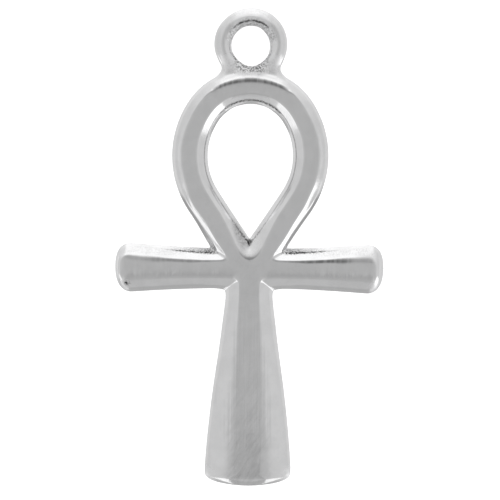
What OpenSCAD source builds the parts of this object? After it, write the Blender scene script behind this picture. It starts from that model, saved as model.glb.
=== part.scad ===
/* [Overall] */
// Height from the foot of the stem to the top of the eye ring
overall_len = 38; // [31:0.5:46]
// Width across both arms
arm_span = 21.4; // [17:0.2:26]
// Thickness from back to front
thick = 2; // [1.6:0.1:2.6]

/* [Eye ring] */
// Bore of the eye ring
eye_bore = 3.1; // [2.4:0.1:4]
// Wire diameter of the eye ring
eye_wire = 1.4; // [1.1:0.05:1.7]
// How deep the bore is cleaned out into the wire
bore_skim = 0.06; // [0.04:0.01:0.1]
// Metal between the bore and the outside of the loop
eye_bridge = 0.35; // [0.2:0.05:0.6]
// Radius of the fillets between the eye ring and the loop
collar_r = 0.65; // [0.4:0.05:0.9]
// Thickness of the collar between the fillets
collar_t = 0.8; // [0.6:0.05:1]

/* [Loop] */
// Outer radius of the crown of the loop
crown_r = 5.92; // [5:0.02:7]
// Outer radius of the sides of the loop
side_r = 7.8; // [6.5:0.1:9.4]
// Angle above the horizontal at which crown and side meet
side_turn = 33; // [25:1:40]
// Lean of the straight legs from the vertical
leg_lean = 33.7; // [28:0.1:40]
// Width of the band
band_w = 2.86; // [2.3:0.02:3.4]

/* [Edges] */
// How far each wall leans in from the parting line to its top
draft = 0.28; // [0.2:0.02:0.34]
// Height of each wall above the parting line
wall_h = 0.55; // [0.4:0.05:0.7]
// Width of the bevel along the loop, seen from the front
loop_bevel = 0.55; // [0.4:0.05:0.7]
// Width of the bevel round the arms
arm_bevel = 0.7; // [0.5:0.05:0.85]
// Width of the bevel along the foot
foot_bevel = 0.35; // [0.2:0.05:0.6]

/* [Arms] */
// Distance from the inner point of the loop down to the middle of the arms
crotch_drop = 2.4; // [2:0.1:3]
// Width of the arms where they cross the stem
arm_root_w = 3.2; // [2.7:0.05:3.9]
// Width of the arms at their ends, before the corners are rounded
arm_end_w = 4.15; // [4:0.05:5]
// Radius of the arms' corners
arm_corner_r = 1.25; // [1.2:0.05:1.5]

/* [Stem] */
// Width of the stem where it leaves the arms
stem_root_w = 3.6; // [3:0.1:4.3]
// Width of the stem at its waist, where its straight taper turns into the bow
stem_waist_w = 4.7; // [4.4:0.1:5.6]
// Width of the stem at its foot, before the corners are rounded
stem_foot_w = 7.05; // [6:0.1:8.4]
// Radius of the bow along the lower sides
stem_bow_r = 100; // [60:1:200]
// Radius of the curve along the foot
foot_r = 9.7; // [8:0.1:20]
// Radius of the corners of the foot
foot_corner_r = 0.55; // [0.4:0.05:0.7]
// Width of the flat strip down the stem at its root
strip_w = 1.6; // [1.2:0.1:2]
// Radius of the dome across the stem at its root
dome_root_r = 2.2; // [1.9:0.1:2.6]
// Radius of the dome across the stem at its foot
dome_foot_r = 7.9; // [6.5:0.1:9.5]

/* [Hidden] */
metal = [0.75, 0.75, 0.76];
half_t = thick / 2;

// Places along the height, measured from the middle of the overall height
eye_wire_r = eye_wire / 2;
eye_hole_r = eye_bore / 2;
eye_ring_r = eye_hole_r - bore_skim + eye_wire_r;
eye_centre = [0, overall_len / 2 - eye_ring_r - eye_wire_r];
crown_centre = eye_centre - [0, eye_hole_r + eye_bridge + crown_r];
foot_y = -overall_len / 2;

// Each side arc touches the crown from inside, so the two share their normal at side_turn
side_centre = crown_centre - (side_r - crown_r) * [cos(side_turn), sin(side_turn)];

// Crown and side both run on a few degrees past the plane where they meet, and are cut there
joint_lap = 2;

// A leg starts where its side arc has turned to the lean of the leg
leg_start = side_centre + (side_r - band_w / 2) * [cos(leg_lean), -sin(leg_lean)];
leg_len = leg_start.x / sin(leg_lean) + band_w;
crotch_y = leg_start.y - leg_start.x / tan(leg_lean) + band_w / 2 / sin(leg_lean);
arm_y = crotch_y - crotch_drop;

// One arc makes a long edge of both arms, and each corner touches it
arm_half = arm_span / 2;
flare = (arm_end_w - arm_root_w) / 2;
flare_r = (arm_half * arm_half + flare * flare) / (2 * flare);
flare_centre = [0, arm_root_w / 2 + flare_r];
flare_turn = asin((arm_half - arm_corner_r) / (flare_r + arm_corner_r));
corner_centre = flare_centre + (flare_r + arm_corner_r) * [sin(flare_turn), -cos(flare_turn)];

// The sides of the stem run straight from the arms to the waist, then bow down to the foot,
// and the straight part runs on a little inside the bowed one
waist_share = 0.3;
taper_lap = 1.2;
stem_root = [stem_root_w / 2, arm_y - arm_root_w / 2];
stem_foot = [stem_foot_w / 2, foot_y];
stem_waist = [stem_waist_w / 2, stem_root.y + waist_share * (foot_y - stem_root.y)];
stem_len = arm_y - foot_y;
taper = atan2(stem_waist.x - stem_root.x, stem_root.y - stem_waist.y);
bow_centre = meeting(stem_foot, stem_bow_r, stem_waist, stem_bow_r);
foot_centre = [0, foot_y + foot_r];

// The corners of the foot are rounded a little inside their tangent circle
corner_bite = 0.03;

// The crest of the dome lies above the face, which cuts it to the flat strip, and the dome
// starts a little below the foot
crest = strip_w * strip_w / (8 * dome_root_r);
dome_over = 1;
dome_rise = atan2(dome_foot_r - dome_root_r, stem_root.y - foot_y);

// Where two circles meet, on the left of the line from the first centre to the second
function meeting(a, a_r, b, b_r) =
    let(gap = norm(b - a))
    let(unit = (b - a) / gap)
    let(along = (a_r * a_r - b_r * b_r + gap * gap) / (2 * gap))
    a + along * unit + sqrt(a_r * a_r - along * along) * [-unit.y, unit.x];

// Inset and height down one edge, from the front face over the parting line to the back face
function edge(bevel) =
    let(front = [[draft + bevel, half_t], [draft, wall_h]])
    concat(front, [[0, 0]], [for (i = [1, 0]) [front[i].x, -front[i].y]]);

// The same down a side of the stem, where the wall runs on up into the dome
wall_lean = draft * half_t / wall_h;
stem_wall = [[wall_lean, half_t], [0, 0], [wall_lean, -half_t]];

// Section from the axis out to an edge at the given radius
module rim(radius, rows) {
    polygon(concat([[0, -half_t], [0, half_t]], [for (row = rows) [radius - row.x, row.y]]));
}

// Section of the band, centred on its middle line
module band() {
    rows = edge(loop_bevel);
    last = len(rows) - 1;
    outside = [for (row = rows) [band_w / 2 - row.x, row.y]];
    polygon(concat(outside, [for (i = [last : -1 : 0]) [-outside[i].x, outside[i].y]]));
}

// Everything above y = 0
module upper_block() {
    translate([-arm_span, 0, -thick])
        cube([2 * arm_span, overall_len, 2 * thick]);
}

// Everything on the crown's side of the plane where it meets the side arc
module crown_block() {
    translate(crown_centre)
        rotate([0, 0, side_turn])
            translate([0, 0, -thick])
                cube([2 * crown_r, 2 * crown_r, 2 * thick]);
}

// The band turned about its frame's origin, from start on
module band_arc(outer_r, start, sweep) {
    rotate_extrude(angle = sweep, start = start, $fn = 180)
        translate([outer_r - band_w / 2, 0])
            band();
}

// Side arc and leg share one frame, in which the leg starts straight down from the arc's end
module side_and_leg() {
    translate(side_centre)
        rotate([0, 0, -leg_lean]) {
            band_arc(side_r, 0, side_turn + leg_lean + joint_lap);
            translate([side_r - band_w / 2, 0, 0])
                rotate([90, 0, 0])
                    linear_extrude(leg_len)
                        band();
        }
}

module half_loop() {
    intersection() {
        translate(crown_centre)
            band_arc(crown_r, side_turn - joint_lap, 90 - side_turn + joint_lap);
        crown_block();
    }
    difference() {
        intersection() {
            side_and_leg();
            translate([0, foot_y, -thick])
                cube([arm_span, overall_len, 2 * thick]);
        }
        crown_block();
    }
}

module loop() {
    half_loop();
    mirror([1, 0, 0])
        half_loop();
}

// Fillets on both sides of the joint of the eye ring, rooted in the middle of the band
module collar() {
    eye_reach = eye_ring_r + eye_wire_r + collar_r;
    fillet = meeting(eye_centre, eye_reach, crown_centre, crown_r + collar_r);
    inward = (fillet - crown_centre) / norm(fillet - crown_centre);
    root = crown_centre + (crown_r - band_w / 2) * inward;
    linear_extrude(collar_t, center = true)
        difference() {
            polygon([eye_centre, fillet, root, [-root.x, root.y], [-fillet.x, fillet.y]]);
            for (side = [-1, 1])
                translate([side * fillet.x, fillet.y])
                    circle(r = collar_r, $fn = 48);
        }
}

module eye_ring() {
    translate(eye_centre)
        rotate_extrude($fn = 96)
            translate([eye_ring_r, 0])
                circle(r = eye_wire_r, $fn = 48);
}

module eye_hole() {
    translate(eye_centre)
        cylinder(h = 2 * thick, r = eye_hole_r, center = true, $fn = 96);
}

// The arms above their middle line, with the edge arc, the corners and the ends
module arm_half_width() {
    rows = edge(arm_bevel);
    translate(flare_centre)
        rotate_extrude(angle = 2 * flare_turn, start = 270 - flare_turn, $fn = 720)
            polygon(concat(
                [[flare_r + arm_end_w, -half_t], [flare_r + arm_end_w, half_t]],
                [for (row = rows) [flare_r + row.x, row.y]]
            ));
    for (side = [0, 1])
        mirror([side, 0, 0]) {
            translate(corner_centre)
                rotate_extrude($fn = 96)
                    rim(arm_corner_r, rows);
            translate([corner_centre.x - arm_corner_r, corner_centre.y, 0])
                rotate([90, 0, 0])
                    linear_extrude(2 * corner_centre.y)
                        rim(2 * arm_corner_r, rows);
        }
}

module arms() {
    translate([0, arm_y, 0])
        for (side = [0, 1])
            mirror([0, side, 0])
                intersection() {
                    arm_half_width();
                    upper_block();
                }
}

// Everything inside one straight side of the upper stem
module inside_taper() {
    translate(stem_root)
        rotate([0, 0, taper])
            rotate([90, 0, 0])
                translate([-stem_foot_w, 0, -stem_len])
                    linear_extrude(2 * stem_len)
                        rim(stem_foot_w, stem_wall);
}

// Everything inside one bowed side of the lower stem
module inside_bow() {
    translate(bow_centre)
        rotate_extrude($fn = 720)
            rim(stem_bow_r, stem_wall);
}

module upper_stem() {
    intersection() {
        inside_taper();
        mirror([1, 0, 0])
            inside_taper();
        translate([-stem_foot_w, stem_waist.y - taper_lap, -thick])
            cube([2 * stem_foot_w, arm_y - stem_waist.y + taper_lap, 2 * thick]);
    }
}

module lower_stem() {
    intersection() {
        inside_bow();
        mirror([1, 0, 0])
            inside_bow();
        translate(foot_centre)
            rotate_extrude($fn = 360)
                rim(foot_r, edge(foot_bevel));
        translate([-stem_foot_w, foot_y - thick, -thick])
            cube([2 * stem_foot_w, stem_waist.y + taper_lap - foot_y + thick, 2 * thick]);
    }
}

// A cone lying along the stem with its crest level
module dome() {
    start_r = dome_foot_r + dome_over * tan(dome_rise);
    reach = stem_len + dome_over;
    end_r = start_r - reach * tan(dome_rise);
    translate([0, foot_y - dome_over, half_t + crest])
        rotate([dome_rise, 0, 0])
            translate([0, 0, -start_r])
                rotate([-90, 0, 0])
                    cylinder(h = reach, r1 = start_r, r2 = end_r, $fn = 180);
}

// What the rounding of one corner of the foot takes off
module foot_rounding() {
    inset = foot_corner_r - corner_bite;
    centre = meeting(foot_centre, foot_r - inset, bow_centre, stem_bow_r - inset);
    to_side = (centre - bow_centre) / norm(centre - bow_centre);
    to_foot = (centre - foot_centre) / norm(centre - foot_centre);
    linear_extrude(2 * thick, center = true)
        difference() {
            translate(centre)
                polygon(2 * foot_corner_r * [[0, 0], to_side, to_side + to_foot, to_foot]);
            translate(centre)
                circle(r = foot_corner_r, $fn = 48);
        }
}

module stem() {
    difference() {
        intersection() {
            union() {
                upper_stem();
                lower_stem();
            }
            dome();
            mirror([0, 0, 1])
                dome();
        }
        foot_rounding();
        mirror([1, 0, 0])
            foot_rounding();
    }
}

module ankh_pendant() {
    color(metal)
        translate([0, 0, half_t]) {
            loop();
            arms();
            stem();
            difference() {
                union() {
                    eye_ring();
                    collar();
                }
                eye_hole();
            }
        }
}

ankh_pendant();
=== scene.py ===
import math

import bmesh
import bpy
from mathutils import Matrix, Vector


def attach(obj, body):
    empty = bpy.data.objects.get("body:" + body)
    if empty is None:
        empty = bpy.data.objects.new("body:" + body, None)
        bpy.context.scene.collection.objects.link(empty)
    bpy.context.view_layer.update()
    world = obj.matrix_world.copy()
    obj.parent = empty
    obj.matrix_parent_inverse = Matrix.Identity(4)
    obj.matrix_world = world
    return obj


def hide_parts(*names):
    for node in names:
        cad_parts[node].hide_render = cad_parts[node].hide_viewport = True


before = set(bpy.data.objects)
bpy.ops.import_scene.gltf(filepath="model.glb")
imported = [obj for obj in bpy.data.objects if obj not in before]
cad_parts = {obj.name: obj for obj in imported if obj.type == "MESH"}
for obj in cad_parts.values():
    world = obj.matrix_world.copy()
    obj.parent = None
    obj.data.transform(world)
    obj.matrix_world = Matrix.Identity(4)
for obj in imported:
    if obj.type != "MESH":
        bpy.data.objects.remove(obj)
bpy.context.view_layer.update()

# The casting is modelled in millimetres, with its parting plane at z = 0, and is scaled down when
# it is finished. Points, edges and faces are picked by their place.
hand = {
    # how near a point has to be: to itself, as the end of a drawn edge, to a place in a list
    "exact": 0.00001,
    "same": 0.01,
    "near": 0.012,
    # how far from its stated place a point may be that is picked alone
    "reach": 0.6,
    "weld": 0.001,
    "far": 99,
}


def deselectAll():
    if bpy.context.mode != "OBJECT":
        bpy.ops.object.mode_set(mode="OBJECT")
    bpy.ops.object.select_all(action="DESELECT")


def pick(kind, test):
    bpy.ops.mesh.select_mode(type=kind)
    bpy.ops.mesh.select_all(action="DESELECT")
    data = bpy.context.object.data
    mesh = bmesh.from_edit_mesh(data)
    items = {"VERT": mesh.verts, "EDGE": mesh.edges, "FACE": mesh.faces}[kind]
    found = [item for item in items if test(item)]
    for item in found:
        item.select_set(True)
    mesh.select_flush_mode()
    bmesh.update_edit_mesh(data)
    return len(found)


def middle(item):
    return sum((v.co for v in item.verts), Vector()) / len(item.verts)


def gap(point, centre):
    return math.hypot(point.x - centre[0], point.y - centre[1])


def fromLeg(x, y):
    # how far a place lies inside the outer line of the right leg
    along = plan["legInward"]
    return (y - plan["notch"][1]) * along[1] + (x - plan["notch"][0]) * along[0]


def over(low):
    return (low, hand["far"])


def under(high):
    return (-hand["far"], high)


measures = {
    "x": lambda p: p.x,
    "y": lambda p: p.y,
    "z": lambda p: p.z,
    "fromParting": lambda p: abs(p.z),
    "fromEye": lambda p: gap(p, eye["centre"]),
    "fromCrown": lambda p: gap(p, plan["crownCentre"]),
    "fromSide": lambda p: gap(p, plan["sideCentre"]),
    "fromNotch": lambda p: gap(p, plan["notch"]),
    "fromLeg": lambda p: fromLeg(p.x, p.y),
    "fromLeftLeg": lambda p: fromLeg(-p.x, p.y),
}


def inside(**spans):
    def isIn(place):
        return all(low < measures[name](place) < high for name, (low, high) in spans.items())

    return isIn


def shift(move, **spans):
    isIn = inside(**spans)
    pick("VERT", lambda v: isIn(v.co))
    bpy.ops.transform.translate(value=move)


def pickPoint(place):
    # the one point nearest to place
    spot = Vector(place)
    mesh = bmesh.from_edit_mesh(bpy.context.object.data)
    here = min(mesh.verts, key=lambda v: (v.co - spot).length).co.copy()
    assert (here - spot).length < hand["reach"], place
    pick("VERT", lambda v: (v.co - here).length < hand["exact"])
    return here


def nudge(place, target):
    here = pickPoint(place)
    bpy.ops.transform.translate(value=Vector(target) - here)


def nudgeAll(moves):
    for place, target in moves:
        nudge(place, target)


def isPair(edge, pairs):
    # whether the edge joins the two places of one of the pairs
    a, b = (v.co for v in edge.verts)
    for p, q in pairs:
        apart = min(max((a - p).length, (b - q).length), max((a - q).length, (b - p).length))
        if apart < hand["same"]:
            return True
    return False


def pickChains(*chains):
    # the edges that join the points of each chain one after another
    pairs = [pair for chain in chains for pair in zip(chain, chain[1:])]
    found = pick("EDGE", lambda e: isPair(e, pairs))
    assert found == len(pairs), (chains, found)


def flatRow(points):
    return [Vector((*p, 0)) for p in points]


def growStrip(start, stations):
    # pulls a row of edges out into a strip of quads, one station after another
    row = flatRow(start)
    for station in stations:
        goal = flatRow(station)
        step = goal[0] - row[0]
        pickChains(row)
        bpy.ops.mesh.extrude_edges_move(TRANSFORM_OT_translate={"value": step})
        for was, to in zip(row[1:], goal[1:]):
            if (was + step - to).length > hand["exact"]:
                nudge(was + step, to)
        row = goal
    return row


def spinRow(points, centre, degrees, steps):
    pickChains(points)
    bpy.ops.mesh.spin(steps=steps, angle=math.radians(degrees), center=(*centre, 0), axis=(0, 0, -1))


def onCircle(centre, radius, degrees):
    turn = math.radians(degrees)
    return (centre[0] + radius * math.cos(turn), centre[1] + radius * math.sin(turn))


# The plan of the right half. The hub is drawn first and the limbs grow out of it.
plan = {
    "crotch": (0, 0.727),
    "notch": (2.927, -0.038),
    "armpit": (1.8, -3.273),
    "stemTop": (0, -3.273),
    "stemInner": (0.45, -3.273),
    "legIn": [(0.25, 1.101), (0.72, 1.807), (1.3, 2.676), (1.89, 3.561), (2.533, 4.525)],
    "legOut": [(3.177, 0.337), (3.56, 0.911), (4.0, 1.571), (4.45, 2.224), (4.95, 2.913)],
    "legInward": (-0.832, 0.555),
    "sideCentre": (-1.577, 7.266),
    "sideRadii": (4.94, 7.8),
    "sideTurn": 66.7,
    "sideLow": -33.7,
    "sideSteps": 9,
    "crownCentre": (0, 8.29),
    "crownRadii": (3.06, 5.965),
    "crownTurn": 57,
    "crownSteps": 8,
    "armTop": [
        (3.4, -0.025), (4.4, 0.007), (5.7, 0.062), (7.1, 0.136), (8.4, 0.22), (9.3, 0.285),
        (9.95, 0.3), (10.74, -0.42),
    ],
    "armBottom": [
        (2.3, -3.295), (3.7, -3.33), (5.3, -3.39), (6.9, -3.47), (8.3, -3.56), (9.2, -3.63),
        (9.85, -3.66), (10.73, -2.8),
    ],
    "foot": [(0, -19.1), (2.45, -18.81), (3.38, -18.38)],
}

# Stem: a flat strip that widens and fades downwards between two domed sides
stem = {
    # height on the plan, half width, half width of the strip, and how high the wall is
    "rows": [
        (-3.72, 1.86, 0.79, 0.53),
        (-4.8, 1.99, 0.82, 0.52),
        (-6.4, 2.185, 0.88, 0.515),
        (-8.2, 2.405, 0.95, 0.505),
        (-10.3, 2.73, 1.02, 0.495),
        (-12.6, 3.025, 1.12, 0.485),
        (-15, 3.275, 1.24, 0.475),
        (-17, 3.43, 1.36, 0.465),
        (-17.9, 3.47, 1.42, 0.46),
    ],
    # where the inner row is drawn on the half width, and where it ends up on the strip
    "innerDrawn": 0.3,
    "innerShare": 0.55,
    "flatDown": 0.04,
    # radius of the dome at both ends, and its height over the strip
    "domeRoot": 2.2,
    "domeFoot": 7.9,
    "crest": 0.1455,
    "length": 15.73,
}

deselectAll()
bpy.ops.mesh.primitive_plane_add(size=2, location=(1.5, -1.5, 0))
pendant = bpy.context.object
pendant.name = "silverAnkh"
pendant.data.name = "silverAnkh"
bpy.ops.object.transform_apply(location=True)
bpy.ops.object.mode_set(mode="EDIT")
hub = {"crotch": (0.5, -0.5), "notch": (2.5, -0.5), "armpit": (2.5, -2.5), "stemTop": (0.5, -2.5)}
for name, corner in hub.items():
    nudge((*corner, 0), (*plan[name], 0))
pickChains(flatRow([plan["stemTop"], plan["armpit"]]))
bpy.ops.mesh.subdivide(number_cuts=1)
nudge((plan["armpit"][0] / 2, plan["armpit"][1], 0), (*plan["stemInner"], 0))

legEnd = growStrip([plan["crotch"], plan["notch"]], list(zip(plan["legIn"], plan["legOut"])))
spinRow(legEnd, plan["sideCentre"], plan["sideTurn"], plan["sideSteps"])
crownRow = [onCircle(plan["crownCentre"], r, 90 - plan["crownTurn"]) for r in plan["crownRadii"]]
spinRow(flatRow(crownRow), plan["crownCentre"], plan["crownTurn"], plan["crownSteps"])
growStrip([plan["notch"], plan["armpit"]], list(zip(plan["armTop"], plan["armBottom"])))
stations = [((0, y), (stem["innerDrawn"] * half, y), (half, y)) for y, half, strip, top in stem["rows"]]
growStrip([plan["stemTop"], plan["stemInner"], plan["armpit"]], stations + [plan["foot"]])
bpy.ops.mesh.select_all(action="SELECT")
bpy.ops.mesh.normals_make_consistent(inside=False)
bpy.ops.object.mode_set(mode="OBJECT")
bpy.ops.object.modifier_add(type="MIRROR")
pendant.modifiers["Mirror"].merge_threshold = hand["weld"]
bpy.ops.object.modifier_apply(modifier="Mirror")
print("plan drawn,", len(pendant.data.polygons), "faces")

# The walls and the bevels are raised out of the plan by insets, all with their mitres. Each level
# has its distance in from the outline and its height.
level = {
    "wall": (0.28, 0.55),
    "mid": (0.555, 0.775),
    "flat": (0.83, 1),
}
onFlat, onMid, onWall, onTop = over(0.9), (0.7, 0.9), (0.5, 0.6), over(0.995)
bpy.ops.object.mode_set(mode="EDIT")
bpy.ops.mesh.select_all(action="SELECT")
if sum(f.normal.z for f in bmesh.from_edit_mesh(pendant.data).faces) < 0:
    bpy.ops.mesh.flip_normals()
before = (0, 0)
for away, up in level.values():
    bpy.ops.mesh.inset(
        thickness=away - before[0], depth=up - before[1], use_even_offset=True, use_boundary=True)
    before = (away, up)
pick("FACE", lambda f: middle(f).x < 0)
bpy.ops.mesh.delete(type="FACE")
print("walls and bevels raised")


def onArc(part, edge, name, turn, away=0, up=0):
    # a place on one level of the crown or the side, counted in from its inner or outer outline
    radius = plan[part + "Radii"][edge]
    inset, height = level[name]
    radius += inset if edge == 0 else -inset
    return (*onCircle(plan[part + "Centre"], radius + away, turn), height + up)


# What the file and the polishing wheel did to the plain mitred shape
worn = {
    # the V of the loop: the bevel widens towards the crotch and its flat ends in a round
    "crotch": [
        ((0, -0.77, 1), (0, -1.06, 1)),
        ((0.94, 0.64, 1), (0.73, -0.63, 1)),
        ((1.41, 1.35, 1), (1.22, 0.58, 1)),
        ((0, -0.27, 0.775), (0, -0.4, 0.79)),
        ((0.71, 0.79, 0.775), (0.53, 0.06, 0.79)),
        ((1.18, 1.5, 0.775), (1.03, 1.03, 0.79)),
        ((0.48, 0.95, 0.55), (0.33, 0.72, 0.55)),
        ((0.95, 1.65, 0.55), (0.83, 1.47, 0.55)),
        ((0.25, 1.1, 0), (0.2, 1.027, 0)),
    ],
    # the notch between leg and arm
    "notch": [
        ((1.35, -0.91, 1), (1.6, -0.98, 1)),
        ((2.49, 0.8, 1), (2.15, -0.22, 1)),
        ((2.87, 1.37, 1), (2.82, 0.84, 1)),
        ((1.87, -0.62, 0.775), (2.02, -0.66, 0.79)),
        ((2.72, 0.64, 0.775), (2.53, 0.06, 0.79)),
        ((3.1, 1.22, 0.775), (3.12, 0.98, 0.79)),
        ((2.94, 0.49, 0.55), (2.8, 0.27, 0.55)),
        ((3.42, -0.85, 1), (2.5, -1.04, 1)),
        ((3.42, -0.58, 0.775), (2.78, -0.68, 0.775)),
        ((3.41, -0.3, 0.55), (3.1, -0.33, 0.55)),
    ],
    # the corner between arm and stem, where file strokes left a small fillet
    "armpit": [
        ((0.86, -2.4, 1), (0.84, -2.53, 1)),
        ((2.33, -2.47, 1), (1.5, -2.47, 1)),
        ((1.17, -2.69, 0.775), (1.15, -2.76, 0.78)),
        ((2.32, -2.74, 0.775), (1.9, -2.74, 0.78)),
        ((1.52, -2.99, 0.55), (1.62, -3.12, 0.55)),
        ((2.31, -3.015, 0.55), (2.45, -3.02, 0.55)),
        ((2.3, -3.295, 0), (2.5, -3.3, 0)),
        ((1.8, -3.273, 0), (2.0, -3.43, 0)),
    ],
}
for moves in worn.values():
    nudgeAll(moves)

# Arms: the flat is narrow, its lower edge runs level, and the ends have the narrowest bevel
arms = {
    "upperIn": 0.25,
    # height of the level edge, and how much of its slope the row under it keeps
    "lowerEdge": -2.43,
    "lowerMid": 0.8,
    "endFlatOut": 0.24,
    "endMidOut": 0.2,
    "lowerCorner": [
        ((9.635, -2.962, 0.775), (9.66, -2.96, 0.85)),
        ((9.741, -3.375, 0.55), (9.741, -3.375, 0.67)),
        ((10.376, -2.538, 0.775), (10.33, -2.62, 0.84)),
        ((10.45, -2.682, 0.55), (10.4, -2.8, 0.63)),
    ],
}
shift((0, -arms["upperIn"], 0), x=over(3), y=(-1.6, 0), z=onFlat)
shift((0, -arms["upperIn"] / 2, 0), x=over(3), y=(-1.6, 0), z=onMid)
lowerEdge = [(onFlat, 1.45, -3.2, 0), (onMid, 1.8, -3.3, arms["lowerMid"])]
for heights, start, low, share in lowerEdge:
    isLower = inside(x=over(start), y=(low, -1.8), z=heights)
    pick("VERT", lambda v: isLower(v.co))
    bpy.ops.transform.resize(value=(1, share, 1), center_override=(0, arms["lowerEdge"], 1))
shift((arms["endFlatOut"], 0, 0), x=over(9.75), z=onFlat)
shift((arms["endMidOut"], 0, 0), x=over(9.9), z=onMid)
nudgeAll(arms["lowerCorner"])


def domeHeight(x, y):
    share = (plan["armpit"][1] - y) / stem["length"]
    radius = stem["domeRoot"] + share * (stem["domeFoot"] - stem["domeRoot"])
    return 1 + stem["crest"] - radius + math.sqrt(max(0.0, radius * radius - x * x))


(wallIn, wallUp), (midIn, midUp), (flatIn, flatUp) = level.values()
for y, half, strip, top in stem["rows"]:
    # the outline slants, so each inset has carried its points a little further down
    here = pickPoint((half - wallIn, y - 0.02, wallUp))
    bpy.ops.transform.translate(value=(0, 0, top - here.z))
    mid = (strip + here.x) / 2
    # smoothing leaves a point two thirds of its height and takes a sixth from each neighbour
    peak = (domeHeight(mid, y) - (flatUp + top) / 6) * 3 / 2
    nudge((half - midIn, y - 0.06, midUp), (mid, y - stem["flatDown"], peak))
    nudge((half - flatIn, y - 0.1, flatUp), (strip, y - stem["flatDown"], flatUp))
    inner = stem["innerDrawn"] * half
    nudge((inner, y, flatUp), (stem["innerShare"] * strip, y, flatUp))

# Foot: two flat facets, with a round tongue between them
facet = {
    "topInner": (1.45, -18.345, 0.99),
    "topOuter": (2.05, -18.282, 0.865),
    "midInner": (1.36, -18.56, 0.735),
    "midOuter": (2.6, -18.262, 0.7),
    "lowInner": (1.27, -18.775, 0.48),
    "lowOuter": (2.95, -18.275, 0.56),
}
tongueLow = (0, -19.0, 0.48)
nudgeAll([
    ((0, -18.26, 1), (0, -18.5, 0.97)),
    ((2.28, -18.0, 1), facet["topInner"]),
    ((2.55, -17.86, 1), facet["topOuter"]),
    ((0, -18.54, 0.775), (0, -18.76, 0.72)),
    ((2.34, -18.27, 0.775), facet["midInner"]),
    ((2.304, -17.94, 0.809), facet["midOuter"]),
    ((2.83, -18.05, 0.775), (2.304, -17.94, 0.809)),
    ((0, -18.82, 0.55), tongueLow),
    ((2.4, -18.54, 0.55), facet["lowInner"]),
    ((3.12, -18.24, 0.55), facet["lowOuter"]),
])

# Loop: its outer bevel is narrowest at the sides, and below it the leg has a low bevel and a
# steep wall
loop = {
    "sideOut": 0.16,
    "legWallUp": 0.22,
    "legMidUp": 0.12,
    "legFlatOut": [
        ((3.31, 2.03), (3.47, 1.93)),
        ((3.75, 2.69), (3.9, 2.6)),
        ((4.253, 3.365), (4.34, 3.31)),
        ((4.721, 4.155), (4.79, 4.12)),
    ],
    "legMid": [
        ((3.12, 0.98, 0.79), (3.14, 0.96, 0.9)),
        ((2.53, 0.06, 0.79), (2.53, 0.06, 0.86)),
    ],
    "notchWall": [
        ((2.394, -0.333, 0.55), (2.43, -0.46, 0.66)),
        ((3.1, -0.33, 0.55), (3.1, -0.47, 0.55)),
        ((4.41, -0.273, 0.55), (4.41, -0.41, 0.55)),
        ((5.713, -0.218, 0.55), (5.713, -0.3, 0.55)),
    ],
    "legCorner": ((2.8, 0.27, 0.77), (2.86, 0.23, 0.74)),
    "legLineOut": (0.08, -0.055, 0),
    # from where to where along the leg, and what share of legLineOut
    "legLine": [(1.2, 3.6, 1), (3.6, 4.8, 0.7), (4.8, 6.2, 0.35)],
    # at each angle down from the top of the crown: how far the outer edge of the flat moves in,
    # and what share of underRows the inner edges take
    "crownIn": [0.16, 0.15, 0.12, 0.06],
    "crownUnder": [1, 1, 0.9, 0.6, 0.25],
    # level, how far out and how far up
    "underRows": [("flat", -0.09, 0), ("mid", 0, 0.07), ("wall", 0.06, 0.12)],
}
crownStep = plan["crownTurn"] / plan["crownSteps"]
crownAngles = [90 - n * crownStep for n in range(len(loop["crownUnder"]))]
nudgeAll(((*was, 1), (*to, 1)) for was, to in loop["legFlatOut"])
for turn, back in zip(crownAngles, loop["crownIn"]):
    nudge(onArc("crown", 1, "flat", turn), onArc("crown", 1, "flat", turn, away=-back))
for turn, share in zip(crownAngles, loop["crownUnder"]):
    for name, away, up in loop["underRows"]:
        target = onArc("crown", 0, name, turn, away=share * away, up=share * up)
        nudge(onArc("crown", 0, name, turn), target)
for n in range(1, plan["sideSteps"]):
    turn = plan["sideLow"] + n * plan["sideTurn"] / plan["sideSteps"]
    out = loop["sideOut"] * math.sin(math.pi * n / plan["sideSteps"])
    for name, share in (("flat", 1), ("mid", 0.5)):
        nudge(onArc("side", 1, name, turn), onArc("side", 1, name, turn, away=share * out))

shift((0, 0, loop["legWallUp"]), fromLeg=(0.16, 0.4), y=(0.2, 4), z=onWall)
shift((0, 0, loop["legMidUp"]), fromLeg=(0.435, 0.675), y=(0, 4), z=(0.7, 0.85))
nudgeAll(loop["legMid"] + loop["notchWall"] + [loop["legCorner"]])
for low, high, share in loop["legLine"]:
    shift(Vector(loop["legLineOut"]) * share, fromLeg=(2.3, 3.2), y=(low, high), z=(0.5, 0.68))
print("arms, stem, foot and loop shaped")

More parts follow.
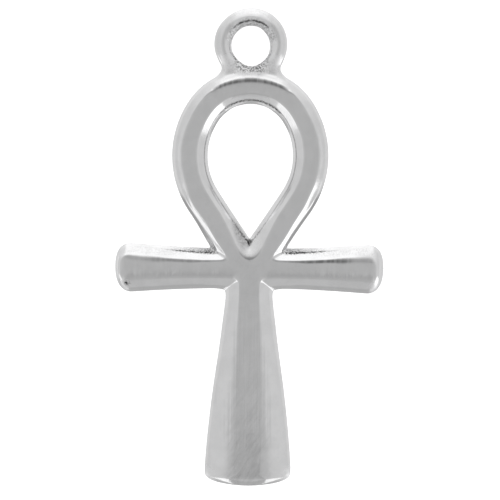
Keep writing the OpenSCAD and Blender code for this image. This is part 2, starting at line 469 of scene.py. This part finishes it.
# The eye ring is round wire. Its end opens into the wall of the crown through a soft collar.
eye = {
    "centre": (0, 16.11),
    "ringRadius": 2.243,
    "wireRadius": 0.733,
    "wireSquash": 0.955,
    "wireSides": 12,
    "quarterSteps": 6,
    "rootTurn": -32,
    "rootSteps": 2,
    # the row between the wire's root and the collar: its middle, the way to its outer side, its
    # half width and its inner end
    "neckMiddle": (1.49, 14.41),
    "neckOuter": (0.915, -0.403),
    "neckHalf": 0.858,
    "neckInner": (0.77, 14.54),
    "neckMoves": [
        ((1.49, 14.41, 0.733), (1.49, 14.41, 0.61)),
        ((1.097, 14.583, 0.635), (1.097, 14.56, 0.5)),
        ((0.81, 14.61, 0.366), (0.81, 14.62, 0.366)),
    ],
    "holeBottom": (0, 14.41, 0),
    "holeDrop": 0.1,
    # at the top of the ring: the row on the wire, how high it is there and how far down it moves
    "topRows": [(3, 0.83, 0.1), (4, 0.69, 0.07)],
    # angle, and what share of that
    "topTurns": [(90, 1), (75, 1), (60, 0.8), (45, 0.4)],
    "collar": [(0, 14.02, 0.68), (0.7, 13.98, 0.68), (1.39, 13.8, 0.66), (2.05, 13.57, 0.61)],
    # after the mirror, because it is only on one side
    "rightIn": 0.08,
    "leftOut": 0.07,
}
wallTop = [Vector(onArc("crown", 1, "wall", turn)) for turn in crownAngles]
wallEnd = Vector((*onCircle(plan["crownCentre"], plan["crownRadii"][1], crownAngles[-1]), 0))
isOpening = inside(x=under(2.8), y=over(13), z=under(0.4))
pick("FACE", lambda f: isOpening(middle(f)))
bpy.ops.mesh.delete(type="FACE")
holeBottom = Vector(eye["holeBottom"])
pickPoint(wallTop[0])
bpy.ops.mesh.extrude_vertices_move(TRANSFORM_OT_translate={"value": holeBottom - wallTop[0]})
socket = [wallEnd, *wallTop[::-1], holeBottom]

bpy.ops.mesh.select_all(action="DESELECT")
wireCentre = (eye["ringRadius"], eye["centre"][1], 0)
bpy.ops.mesh.primitive_circle_add(
    vertices=eye["wireSides"], radius=eye["wireRadius"], rotation=(math.pi / 2, 0, 0),
    location=wireCentre)
bpy.ops.transform.resize(value=(eye["wireSquash"], 1, 1), center_override=wireCentre)
pick("VERT", lambda v: v.co.z < -0.01)
bpy.ops.mesh.delete(type="VERT")


def onWire(row):
    # radius about the eye's centre and height of a point on the wire, from its outside inwards
    turn = math.pi * row * 2 / eye["wireSides"]
    out = eye["wireSquash"] * eye["wireRadius"] * math.cos(turn)
    return (eye["ringRadius"] + out, eye["wireRadius"] * math.sin(turn))


wireRows = range(eye["wireSides"] // 2 + 1)
wire = [Vector((radius, eye["centre"][1], up)) for radius, up in map(onWire, wireRows)]
root = [Vector((*onCircle(eye["centre"], p.x, eye["rootTurn"]), p.z)) for p in wire]
spinRow(wire, eye["centre"], 90, eye["quarterSteps"])
spinRow(wire, eye["centre"], eye["rootTurn"], eye["rootSteps"])
pickChains(root, socket)
bpy.ops.mesh.bridge_edge_loops(number_cuts=1, interpolation="LINEAR")
for n, (a, b) in enumerate(zip(root, socket)):
    turn = math.pi * n * 2 / eye["wireSides"]
    side = eye["neckHalf"] * math.cos(turn)
    place = [at + side * out for at, out in zip(eye["neckMiddle"], eye["neckOuter"])]
    if n == wireRows[-1]:
        place = eye["neckInner"]
    nudge((a + b) / 2, (*place, eye["wireRadius"] * math.sin(turn)))
nudgeAll(eye["neckMoves"])
shift((0, -eye["holeDrop"], 0), fromEye=under(1.72), y=over(14.9))
for turn, share in eye["topTurns"]:
    for row, high, down in eye["topRows"]:
        radius, up = onWire(row)
        x, y = onCircle(eye["centre"], radius, turn)
        nudge((x, y, up), (x, y - share * down, up + share * (high - up)))
nudgeAll(zip(wallTop, eye["collar"]))
print("eye ring joined")


# Creases: how crisp each edge of the casting is, from 0 for a soft turn to 1 for a sharp edge. A
# second crease on an edge is added to the first.
def creaseEdges(value, test, **spans):
    isIn = inside(**spans)
    if pick("EDGE", lambda e: test(e) and isIn(middle(e))):
        bpy.ops.transform.edge_crease(value=value)


def lowestOn(face):
    return min(v.co.z for v in face.verts)


def within(low, high):
    return lambda e: all(low < v.co.z < high for v in e.verts)


def onRim(edge):
    # the edge of the flat
    if min(v.co.z for v in edge.verts) < onTop[0]:
        return False
    return any(lowestOn(f) < crisp["bevelTop"] for f in edge.link_faces)


def onWallTop(edge):
    if not within(*crisp["wallHeights"])(edge):
        return False
    return any(lowestOn(f) < crisp["partingTop"] for f in edge.link_faces)


def isAt(point, places):
    return any((point - Vector(place)).length < hand["near"] for place in places)


def joining(places):
    return lambda e: all(isAt(v.co, places) for v in e.verts)


def upMitre(corner, top):
    # the edges that climb from a corner of the plan to its corner on the flat
    low, high = Vector(corner).to_2d(), Vector(top).to_2d()
    span = high - low

    def isIn(edge):
        if abs(edge.verts[0].co.z - edge.verts[1].co.z) < crisp["mitreClimb"]:
            return False
        for v in edge.verts:
            away = v.co.to_2d() - low
            share = away.dot(span) / span.length_squared
            if not crisp["mitreFrom"] < share < crisp["mitreTo"]:
                return False
            if (away - share * span).length > crisp["mitreAside"]:
                return False
        return True

    return isIn


crisp = {
    # heights by which the faces and edges are told apart
    "bevelTop": 0.99,
    "wallHeights": (0.44, 0.56),
    "partingTop": 0.01,
    # which edges count as part of a mitre: how far they climb, from and to what share of the
    # way, and how far aside
    "mitreClimb": 0.1,
    "mitreFrom": -0.02,
    "mitreTo": 1.02,
    "mitreAside": 0.09,
    # creases
    "loopRim": 0.5,
    "crownTop": 0.22,
    # from where to where along the arm, and the crease of its upper edge
    "armUpper": [(3, 5, 0.45), (5, 7.5, 0.34), (7.5, 9.9, 0.2)],
    "armLower": 0.16,
    "armEnd": 0.16,
    "crotchRim": 0.4,
    "stripRoot": 0.5,
    "stripTop": -3.6,
    "stripLength": 16,
    "stripParts": 9,
    "stripFade": 11,
    "facet": 1,
    "ringCrest": 0.5,
    "legWall": 0.5,
    "wallTop": 0.46,
    "wallSoft": 0.12,
    "wallArmpit": 0.5,
    "parting": 0.42,
    "mitre": 0.6,
    "crotchMitre": 0.9,
}
# the edge of the flat: round the loop, softer on top of the crown, then in the V and on the arms
creaseEdges(crisp["loopRim"], onRim, y=over(0.9))
creaseEdges(crisp["crownTop"] - crisp["loopRim"], onRim, x=under(2.8), y=(12.5, 13.6))
creaseEdges(crisp["crotchRim"], onRim, x=under(1.3), y=(-1.1, 0.9))
creaseEdges(crisp["loopRim"], onRim, x=(1.3, 3), y=(-1.05, 0.9))
for low, high, value in crisp["armUpper"]:
    creaseEdges(value, onRim, x=(low, high), y=(-1.3, 0))
creaseEdges(crisp["armLower"], onRim, x=under(9.9), y=(-2.6, -2.3))
creaseEdges(crisp["armEnd"], onRim, x=over(9.9))
# the strip of the stem, whose edges fade downwards
for n in range(crisp["stripParts"]):
    high = crisp["stripTop"] - crisp["stripLength"] * n / crisp["stripParts"]
    low = high - crisp["stripLength"] / crisp["stripParts"]
    creaseEdges(crisp["stripRoot"] * (1 - n / crisp["stripFade"]), onRim, y=(max(low, -18.1), high))
creaseEdges(crisp["stripRoot"], onRim, y=(crisp["stripTop"], -2.7))
# the facets of the foot have a crease all round, and none across their middle
across = [(Vector(facet["midInner"]) + Vector(facet["midOuter"])) / 2]
isFacet = joining(list(facet.values()))
creaseEdges(crisp["facet"], lambda e: isFacet(e) and not isAt(middle(e), across))
facetEnds = [
    ((0.781, -17.9, 1), facet["topInner"]),
    (tongueLow, facet["lowInner"]),
    ((3.189, -17.88, 0.46), facet["lowOuter"]),
]
creaseEdges(crisp["facet"], lambda e: any(joining(ends)(e) for ends in facetEnds))
# the tops of the walls, the bevel of the leg, the crest of the ring and the parting line
creaseEdges(crisp["wallTop"], onWallTop, y=over(-0.5))
creaseEdges(crisp["wallSoft"], onWallTop, y=(-18, -0.5))
creaseEdges(crisp["wallArmpit"] - crisp["wallSoft"], onWallTop, x=under(3.2), y=(-4.4, -2.6))
notchTop = [target for place, target in loop["notchWall"]]
creaseEdges(crisp["wallTop"], joining(notchTop[:2]))
creaseEdges(crisp["legWall"], joining([notchTop[0], loop["legCorner"][1], (3.327, 1.066, 0.77)]))
creaseEdges(crisp["legWall"], within(0.76, 0.78), x=over(2.7))
creaseEdges(crisp["ringCrest"], within(*over(0.75)), y=over(17.6))
creaseEdges(crisp["parting"], within(*under(crisp["partingTop"])), y=under(13.6))
# the mitres in the armpit, in the V and in the notch
armpitMoves = worn["armpit"]
creaseEdges(crisp["mitre"], upMitre(armpitMoves[-1][1], armpitMoves[0][1]))
creaseEdges(crisp["crotchMitre"], lambda e: max(v.co.x for v in e.verts) < 0.01, y=(-0.1, 0.6))
notchMitre = Vector((2.66, -0.185, 0.275))
creaseEdges(crisp["mitre"], lambda e: (middle(e) - notchMitre).length < 0.08)


# Where the polishing wheel did not reach, and painted shade along the edges, in the creases and in the
# eye: painted on the cage, and read by the silver below
def paintPoints(layer, value, test):
    mesh = bmesh.from_edit_mesh(bpy.context.object.data)
    store = mesh.verts.layers.float.get(layer) or mesh.verts.layers.float.new(layer)
    for v in mesh.verts:
        if test(v.co):
            v[store] = max(v[store], value)
    bmesh.update_edit_mesh(bpy.context.object.data)


def paint(layer, value, **spans):
    paintPoints(layer, value, inside(**spans))


def paintInnerWall(layer, value, start):
    # along the top of the wall inside the loop, from start upwards
    rows = [
        inside(y=(max(start, 0.5), 4.6), z=(0.5, 0.68), fromLeg=(2.38, 2.78)),
        inside(y=(max(start, 4.6), 9.9), z=(0.5, 0.68), fromSide=(5.07, 5.37)),
        inside(y=over(max(start, 9.9)), z=(0.5, 0.68), fromCrown=(3.19, 3.49)),
    ]
    paintPoints(layer, value, lambda co: any(isIn(co) for isIn in rows))


# dark line left by the mould on the walls of the loop, in the V, the notches and along the arms, with
# painted shade in these creases
for value, start in ((0.78, 0.5), (0.86, 3), (1, 10.5)):
    paintInnerWall("castLineAndShade", value, start)
paint("castLineAndShade", 1, x=under(0.01), y=(-0.1, 1), z=under(0.6))
paint("castLineAndShade", 0.9, z=(0.3, 0.7), fromNotch=under(0.5))
for start, end, value in ((3, 4, 0.95), (4, 5, 0.93), (5, 6.5, 0.86), (6.5, 8, 0.7)):
    paint("castLineAndShade", value, x=(start, end), y=(-0.6, 0.1), z=onWall)
# on the inside of the eye ring the line is a painted dark reflection, a crescent round the top of the
# hole
for turn, value in ((15, 0), (30, 0.3), (45, 0.85), (60, 1), (75, 1), (90, 1)):
    spot = onCircle(eye["centre"], onWire(4)[0], turn)
    paintPoints("castLineAndShade", value, lambda co: gap(co, spot) < 0.09 and co.z > 0.4)
    nearSpot = inside(z=over(0.1), fromEye=under(1.95))
    paintPoints("rawCast", 0.9, lambda co: gap(co, spot) < 0.42 and nearSpot(co))

# shade along the edges of the flat
paint("rimShade", 1, x=under(2.6), y=(12.6, 13.6), z=onTop)
paint("rimShade", 0.5, x=under(3.6), y=(12, 13.6), z=onTop, fromCrown=over(4.8))
paint("rimShade", 0.25, x=(3, 4.6), y=(10.6, 12.4), z=onTop, fromCrown=over(4.8))
for start, end, value in ((1.5, 3.3, 0.45), (3.3, 5, 0.8), (5, 8, 1), (8, 9.8, 0.5)):
    paint("rimShade", value, x=(start, end), y=(-1.5, -0.6), z=onTop)
paint("rimShade", 0.75, x=under(0.1), y=(-1.3, -0.8), z=onTop)
paint("rimShade", 0.55, x=(0.1, 1), y=(-1, -0.3), z=onTop)

# satin metal: on the eye ring, the collar, the crown, the ends of the arms, the V and the foot
paint("satin", 1, x=under(1.3), y=over(17.5), z=over(0.6), fromEye=(1.7, 2.4))
paint("satin", 0.5, x=under(1.9), y=over(17), z=over(0.6), fromEye=(1.7, 2.4))
paint("satin", 1, x=under(2.3), y=(13.9, 15.2), z=(0.4, 0.74))
paint("satin", 0.7, x=under(2.2), y=(13.3, 13.9), z=(0.7, 0.8))
paint("satin", 0.9, x=under(1.6), y=over(11), z=over(0.5), fromCrown=(3.3, 3.7))
paint("satin", 0.8, x=over(9.6), y=under(-2.9), z=over(0.5))
paint("satin", 0.8, x=over(9.6), y=under(-2), z=under(0.66))
paint("satin", 0.9, x=under(0.6), y=(-0.7, 0.4), z=(0.5, 0.9))
paint("satin", 0.8, x=over(2.8), y=under(-17.7), z=under(0.6))

# cast pits: under the eye ring, inside the crown, in the notches and in the V
paint("pitted", 0.7, x=under(1.3), y=(13.9, 14.7), z=(0.45, 0.7))
paint("pitted", 1, x=under(1.5), y=(14.4, 15.3), z=under(0.5))
paint("pitted", 0.5, x=under(1.2), y=(14.4, 15), z=under(0.6))
paintInnerWall("pitted", 0.5, 10.5)
paint("pitted", 0.55, x=(2.6, 6), y=(-0.6, 0.2), z=onWall)
paint("pitted", 0.8, y=under(0), z=(0.3, 0.7), fromNotch=under(0.75))
paint("pitted", 0.45, x=under(1.5), y=(0.2, 1.9), z=(0.5, 0.7))
paint("pitted", 0.3, x=under(2), y=(0.5, 3.2), z=(0.5, 0.7), fromLeg=over(2.3))

# the leg of the V that was polished least
paint("roughLeg", 1, x=under(2.6), y=(0.1, 2.4), z=(0.5, 0.72), fromLeg=over(2))
paint("roughLeg", 0.5, x=under(2.6), y=(2.4, 4.6), z=(0.5, 0.68), fromLeg=over(2.2))
paint("roughLeg", 0.7, x=under(2.2), y=(0, 2.2), z=(0.7, 0.85), fromLeg=over(1.7))

# raw casting, with its grain: in the notches, along the arms, on the collar, the eye and the V
paint("rawCast", 1, z=under(0.7), fromNotch=under(0.6))
paint("rawCast", 0.55, x=(3, 5), y=(-0.6, 0.2), z=under(0.7))
paint("rawCast", 0.4, x=(5, 6.5), y=(-0.5, 0.2), z=under(0.7))
paint("rawCast", 0.4, x=(5, 9.8), y=(-0.8, 0.2), z=(0.5, 0.8))
paint("rawCast", 0.8, x=under(1), y=(14.4, 14.9), z=under(0.5))
paint("rawCast", 0.45, x=under(2), y=(13.9, 15), z=under(0.8))
paint("rawCast", 0.5, x=under(2.2), y=(13.6, 14.3), z=(0.6, 0.8))
paint("rawCast", 0.35, x=under(1.6), y=over(18.1), z=over(0.6))
paint("rawCast", 0.4, fromEye=under(1.75))
paint("rawCast", 0.35, x=under(2), y=(0.5, 3.2), z=under(0.6), fromLeg=over(2.3))
bpy.ops.object.mode_set(mode="OBJECT")

bpy.ops.object.modifier_add(type="MIRROR")
pendant.modifiers["Mirror"].use_axis = (True, False, True)
pendant.modifiers["Mirror"].merge_threshold = hand["weld"]
bpy.ops.object.modifier_apply(modifier="Mirror")
bpy.ops.object.mode_set(mode="EDIT")

# The two halves of the casting differ a little
uneven = {
    "leftFlatOut": 0.22,
    "leftMidOut": 0.14,
    "rightTopDown": 0.14,
    "leftTopUp": 0.2,
    "leftLegFlat": [
        ((-3.9, 2.6), (-3.98, 2.55)),
        ((-4.34, 3.31), (-4.48, 3.22)),
        ((-4.79, 4.12), (-4.92, 4.06)),
    ],
    # from where to where up the left leg, and how far its wall stands out there
    "leftLegOut": [(-0.45, 0.5, 0.17), (0.5, 1.3, 0.13), (1.3, 2, 0.07)],
    # heights from the parting line, and what share of it
    "leftLegShare": [(-0.1, 0.5, 1), (0.5, 0.82, 0.35)],
}
shift((-uneven["leftFlatOut"], 0, 0), x=under(-9.75), fromParting=onFlat)
shift((-uneven["leftMidOut"], 0, 0), x=under(-9.9), fromParting=onMid)
shift((0, -uneven["rightTopDown"], 0), x=over(9), y=(-1.1, -0.7), fromParting=onFlat)
shift((0, uneven["leftTopUp"], 0), x=under(-9.5), y=(-1.1, -0.7), fromParting=onFlat)
for layer in ("castLineAndShade", "pitted"):
    paint(layer, 1, x=under(-9.5), y=(-3.1, -2.9), fromParting=over(0.7))
shift((-eye["rightIn"], 0, 0), x=over(0.9), y=over(15.2), fromEye=under(1.8))
shift((-eye["leftOut"], 0, 0), x=under(-1.5), y=(15, 18), fromEye=over(2.7))
for side in (1, -1):
    nudgeAll(((*was, side), (*to, side)) for was, to in uneven["leftLegFlat"])
for low, high, out in uneven["leftLegOut"]:
    for bottom, top, share in uneven["leftLegShare"]:
        shift(
            (-out * share, 0, 0), x=under(-2.3), y=(low, high), fromLeftLeg=(-0.3, 0.2),
            fromParting=(bottom, top))
bpy.ops.object.mode_set(mode="OBJECT")

finish = {"levels": 3, "lift": 0.001, "scale": 0.001}
bpy.ops.object.modifier_add(type="SUBSURF")
pendant.modifiers["Subdivision"].levels = finish["levels"]
pendant.modifiers["Subdivision"].render_levels = finish["levels"]
bpy.ops.object.modifier_apply(modifier="Subdivision")
pendant.location = (0, 0, finish["lift"])
pendant.scale = (finish["scale"],) * 3
bpy.ops.object.transform_apply(location=True, scale=True)
bpy.ops.object.mode_set(mode="EDIT")
bpy.ops.mesh.select_all(action="SELECT")
bpy.ops.mesh.normals_make_consistent(inside=False)
bpy.ops.object.mode_set(mode="OBJECT")
bpy.ops.object.shade_smooth()
print("casting smoothed,", len(pendant.data.polygons), "faces")

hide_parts("ankh_pendant")
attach(pendant, "root")


# Silver: a bright plating over the casting, wheel polished on the front
silver = {
    "metal": (0.865, 0.865, 0.87),
    "grimeAndShade": (0.03, 0.03, 0.03),
    "rough": (0.1, 0.17),
    "rawRough": 0.25,
    "satinRough": 0.35,
    # cells to the millimetre along x, y and z, turn in degrees, detail, roughness
    "marks": {
        "grain": ((7, 7, 7), 0, 4, 0.7),
        "mottle": ((0.9, 0.9, 0.9), 0, 3, 0.5),
        "brush": ((2.6, 0.5, 1), 32, 4, 0.65),
        "drawn": ((2.6, 0.09, 1), 0, 3, 0.5),
        "scuff": ((14, 0.5, 3), 24, 1, 0.5),
        "streaks": ((4.5, 0.05, 1), 0, 2, 0.5),
    },
    # how deep the marks are cut, in hundredths of a millimetre
    "deep": {"grain": 5, "drawn": 0.8, "brush": 0.8, "scuff": 0.12, "mottle": 1.6, "streaks": 2.2},
    "unit": 0.00001,
    # each flaw, and the painted shade of the cast line, is broken up by the grain: where the paint
    # starts and is full, where the grain starts and is full, and the share that is left without grain
    "flawsAndShade": {
        "castLineAndShade": (0.6, 0.98, 0.3, 0.55, 0.35),
        "rawCast": (0.15, 0.95, 0.42, 0.62, 0),
        "roughLeg": (0.1, 0.9, 0.3, 0.62, 0.3),
        "pitted": (0.15, 0.8, 0.47, 0.57, 0),
    },
    # how much each one darkens the metal
    "dark": {
        "castLineAndShade": 0.7, "rimShade": 0.68, "rawCast": 0.45, "roughLeg": 0.45, "pitted": 0.7,
        "mottle": 0.05, "brush": 0.1,
    },
    # from what value of its paint or mark each one starts, and where it is full
    "paintSeen": (0.1, 0.9),
    "rimSeen": (0.2, 1),
    "drawnSeen": (0.38, 0.56),
    "brushSeen": (0.42, 0.66),
    "mottleSeen": (0.35, 0.7),
    # how far a face looks up the picture where the shade of the rim starts and where it ends
    "rimStart": (0.03, 0.12),
    "rimEnd": (0.3, 0.42),
    # what is left of it elsewhere
    "leftRimLeast": 0.5,
    "drawnLeast": 0.72,
    "brushUpLeast": 0.15,
    "brushAsideLeast": 0.06,
    # places in metres, between which each one fades in
    "brushDown": (-0.008, -0.0165),
    "brushAside": (0.001, 0.0021),
    "stemTop": (-0.0035, -0.0055),
    "stemBottom": (-0.0165, -0.0135),
    "leftSide": (0.0001, -0.0001),
    "leftRim": (-0.006, -0.002),
}
nodeGrid = {"wide": 220, "high": 200, "rows": 8}


def addNode(tree, kind, **values):
    node = tree.nodes.new(kind)
    column, row = divmod(len(tree.nodes), nodeGrid["rows"])
    node.location = (column * nodeGrid["wide"], -row * nodeGrid["high"])
    for name, value in values.items():
        setattr(node, name, value)
    return node


def plateSilver(look):
    material = bpy.data.materials.new("platedSilver")
    material.use_nodes = True
    tree = material.node_tree
    link = tree.links.new
    shader = tree.nodes["Principled BSDF"]
    shader.inputs["Metallic"].default_value = 1
    coords = addNode(tree, "ShaderNodeTexCoord").outputs["Object"]
    facing = addNode(tree, "ShaderNodeSeparateXYZ")
    link(addNode(tree, "ShaderNodeNewGeometry").outputs["Normal"], facing.inputs[0])
    spot = addNode(tree, "ShaderNodeSeparateXYZ")
    link(coords, spot.inputs[0])
    x, y, facingUp = spot.outputs["X"], spot.outputs["Y"], facing.outputs["Y"]

    def noise(name, perMm, turn, detail, rough):
        turned = addNode(tree, "ShaderNodeMapping", label=name, vector_type="POINT")
        turned.inputs["Rotation"].default_value = (0, 0, math.radians(turn))
        turned.inputs["Scale"].default_value = (1000, 1000, 1000)
        link(coords, turned.inputs["Vector"])
        stretch = addNode(tree, "ShaderNodeVectorMath", operation="MULTIPLY")
        stretch.inputs[1].default_value = perMm
        link(turned.outputs[0], stretch.inputs[0])
        cloud = addNode(tree, "ShaderNodeTexNoise")
        cloud.inputs["Scale"].default_value = 1
        cloud.inputs["Detail"].default_value = detail
        cloud.inputs["Roughness"].default_value = rough
        link(stretch.outputs[0], cloud.inputs["Vector"])
        return cloud.outputs[0]

    def ranged(source, low, high, to=(0, 1), kind="SMOOTHSTEP"):
        node = addNode(tree, "ShaderNodeMapRange", interpolation_type=kind)
        link(source, node.inputs[0])
        for socket, value in zip(node.inputs[1:5], (low, high, *to)):
            socket.default_value = value
        return node.outputs[0]

    def reckon(kind, first, second=0):
        node = addNode(tree, "ShaderNodeMath", operation=kind)
        for socket, value in zip(node.inputs, (first, second)):
            if isinstance(value, (int, float)):
                socket.default_value = value
            else:
                link(value, socket)
        return node.outputs[0]

    def times(first, *others):
        for other in others:
            first = reckon("MULTIPLY", first, other)
        return first

    def plus(first, *others):
        for other in others:
            first = reckon("ADD", first, other)
        return first

    def painted(layer):
        return addNode(tree, "ShaderNodeAttribute", attribute_name=layer).outputs["Fac"]

    marks = {name: noise(name, *row) for name, row in look["marks"].items()}
    # the left leg of the V was polished less than the right one
    onlyOn = {"roughLeg": ranged(x, *look["leftSide"])}
    shades = {}
    for name, (start, full, low, high, least) in look["flawsAndShade"].items():
        seen = ranged(painted(name), start, full)
        if name in onlyOn:
            seen = times(seen, onlyOn[name])
        shades[name] = times(seen, ranged(marks["grain"], low, high, to=(least, 1)))
    # the edges of the flat are shaded where they look up the picture
    shades["rimShade"] = times(
        ranged(facingUp, *look["rimStart"]),
        ranged(facingUp, *look["rimEnd"], to=(1, 0)),
        ranged(painted("rimShade"), *look["rimSeen"]),
        ranged(x, *look["leftRim"], to=(look["leftRimLeast"], 1)),
        ranged(marks["drawn"], *look["drawnSeen"], to=(look["drawnLeast"], 1)))
    # brush marks gather on the middle of the foot
    aside = ranged(reckon("ABSOLUTE", x), *look["brushAside"], to=(1, look["brushAsideLeast"]))
    onFoot = times(ranged(y, *look["brushDown"], to=(look["brushUpLeast"], 1)), aside)
    shades["brush"] = times(ranged(marks["brush"], *look["brushSeen"]), onFoot)
    shades["mottle"] = ranged(marks["mottle"], *look["mottleSeen"])
    # darkening from the flaws, the mottle and the brush marks, and painted shade: along the rims, in
    # the creases of the cast line and as a dark reflection in the eye
    shade = plus(*[times(shades[name], dark) for name, dark in look["dark"].items()])
    colour = addNode(tree, "ShaderNodeMix", data_type="RGBA")
    link(shade, colour.inputs[0])
    colour.inputs[6].default_value = (*look["metal"], 1)
    colour.inputs[7].default_value = (*look["grimeAndShade"], 1)
    link(colour.outputs[2], shader.inputs["Base Color"])

    raw = ranged(painted("rawCast"), *look["paintSeen"])
    rough = plus(
        ranged(marks["mottle"], *look["mottleSeen"], to=look["rough"], kind="LINEAR"),
        times(raw, look["rawRough"]),
        times(ranged(painted("satin"), *look["paintSeen"]), look["satinRough"]))
    link(rough, shader.inputs["Roughness"])

    onStem = times(ranged(y, *look["stemTop"]), ranged(y, *look["stemBottom"]))
    where = {"grain": raw, "brush": onFoot, "streaks": onStem}
    cuts = []
    for name, depth in look["deep"].items():
        cut = times(marks[name], where[name]) if name in where else marks[name]
        cuts.append(times(cut, depth))
    bump = addNode(tree, "ShaderNodeBump")
    bump.inputs["Strength"].default_value = 1
    bump.inputs["Distance"].default_value = look["unit"]
    link(plus(*cuts), bump.inputs["Height"])
    link(bump.outputs[0], shader.inputs["Normal"])
    return material


pendant.data.materials.append(plateSilver(silver))
print("silver plated")

# Floor, light and camera
paper = {"size": 3, "drop": -0.00002, "white": 0.9, "rough": 0.9, "glow": 0.75}
deselectAll()
bpy.ops.mesh.primitive_plane_add(size=paper["size"], location=(0, 0, paper["drop"]))
floor = bpy.context.object
floor.name = "paleFloor"
bpy.ops.object.transform_apply(location=True)
palePaper = bpy.data.materials.new("palePaper")
palePaper.use_nodes = True
paperInputs = palePaper.node_tree.nodes["Principled BSDF"].inputs
paperInputs["Base Color"].default_value = (paper["white"],) * 3 + (1,)
paperInputs["Roughness"].default_value = paper["rough"]
paperInputs["Emission Color"].default_value = (1, 1, 1, 1)
paperInputs["Emission Strength"].default_value = paper["glow"]
floor.data.materials.append(palePaper)
floor.visible_glossy = False

# The light is a soft tent. A row gives its brightness by height above the horizon, and a span
# fades a row in and out around the horizon, both in degrees.
tent = {
    "side": [
        (-90, 0.85), (-60, 0.85), (-45, 0.74), (-12, 0.72), (0, 0.655), (55, 0.665), (75, 0.55),
        (90, 0.486),
    ],
    "south": [
        (-90, 0.5), (-32, 0.5), (-26, 1.25), (-8, 1.25), (-2, 0.6), (9, 0.58), (40, 0.56),
        (60, 0.5), (80, 0.41), (90, 0.486),
    ],
    "southSpan": [(-112, 0), (-109, 1), (-71, 1), (-68, 0)],
    "eastBox": [
        (-90, 0.5), (-44, 0.36), (-34, 0.5), (-26, 1.35), (36, 1.35), (48, 0.62), (75, 0.52),
        (90, 0.486),
    ],
    "eastBoxSpan": [(-57, 0), (-51, 1), (-22, 1), (-13, 0)],
    "westBox": [
        (-90, 0.5), (-44, 0.36), (-34, 0.5), (-26, 1.15), (-4, 1.15), (1, 0.7), (9, 0.7),
        (14, 1.1), (36, 1.1), (46, 0.62), (75, 0.52), (90, 0.486),
    ],
    "westBoxSpan": [(-165, 0), (-155, 1), (-128, 1), (-120, 0)],
    "column": [
        (-90, 0.5), (-20, 0.47), (4, 0.47), (10, 0.55), (45, 0.54), (60, 0.46), (80, 0.4),
        (90, 0.486),
    ],
    "columnSpan": [(-102, 0), (-100, 1), (-80, 1), (-78, 0)],
    "north": [
        (-90, 0.8), (-50, 1.0), (-35, 1.15), (46, 1.15), (56, 0.75), (66, 0.45), (80, 0.46),
        (90, 0.5),
    ],
    "northSpan": [(20, 0), (55, 0.3), (72, 1), (108, 1), (125, 0.3), (160, 0)],
}


def softTent(look):
    world = bpy.data.worlds.new("softTent")
    world.use_nodes = True
    bpy.context.scene.world = world
    tree = world.node_tree
    link = tree.links.new
    split = addNode(tree, "ShaderNodeSeparateXYZ")
    link(addNode(tree, "ShaderNodeTexCoord").outputs["Generated"], split.inputs[0])

    def share(kind, sources, wholeTurn):
        # an angle of the view, from 0 to 1 over its whole range
        angle = addNode(tree, "ShaderNodeMath", operation=kind)
        for socket, source in zip(angle.inputs, sources):
            link(source, socket)
        scaled = addNode(tree, "ShaderNodeMath", operation="MULTIPLY_ADD")
        link(angle.outputs[0], scaled.inputs[0])
        scaled.inputs[1].default_value = 1 / wholeTurn
        scaled.inputs[2].default_value = 0.5
        return scaled.outputs[0]

    height = share("ARCSINE", [split.outputs["Z"]], math.pi)
    around = share("ARCTAN2", [split.outputs["Y"], split.outputs["X"]], 2 * math.pi)

    def ramp(name, source, wholeTurn):
        node = addNode(tree, "ShaderNodeValToRGB", label=name)
        link(source, node.inputs[0])
        node.color_ramp.interpolation = "EASE"
        bar = node.color_ramp.elements
        while len(bar) < len(look[name]):
            bar.new(0.5)
        for mark, (angle, value) in zip(bar, look[name]):
            mark.position = angle / wholeTurn + 0.5
            mark.color = (value, value, value, 1)
        return node.outputs["Color"]

    light = ramp("side", height, 180)
    for row in ("south", "eastBox", "westBox", "column", "north"):
        blend = addNode(tree, "ShaderNodeMix", data_type="RGBA")
        link(ramp(row + "Span", around, 360), blend.inputs[0])
        link(light, blend.inputs[6])
        link(ramp(row, height, 180), blend.inputs[7])
        light = blend.outputs[2]
    link(light, tree.nodes["Background"].inputs["Color"])


softTent(tent)
bpy.context.scene.view_settings.view_transform = "Standard"

camera = {
    "place": (0.000018, 0.002498, 0.151),
    "pitch": -1.037,
    "roll": 0.5,
    "lens": 135.89,
    "sensor": 36,
    "clip": (0.01, 20),
}
turned = (math.radians(camera["pitch"]), 0, math.radians(camera["roll"]))
bpy.ops.object.camera_add(location=camera["place"], rotation=turned)
eyeView = bpy.context.object
eyeView.data.lens = camera["lens"]
eyeView.data.sensor_width = camera["sensor"]
eyeView.data.clip_start, eyeView.data.clip_end = camera["clip"]
bpy.context.scene.camera = eyeView
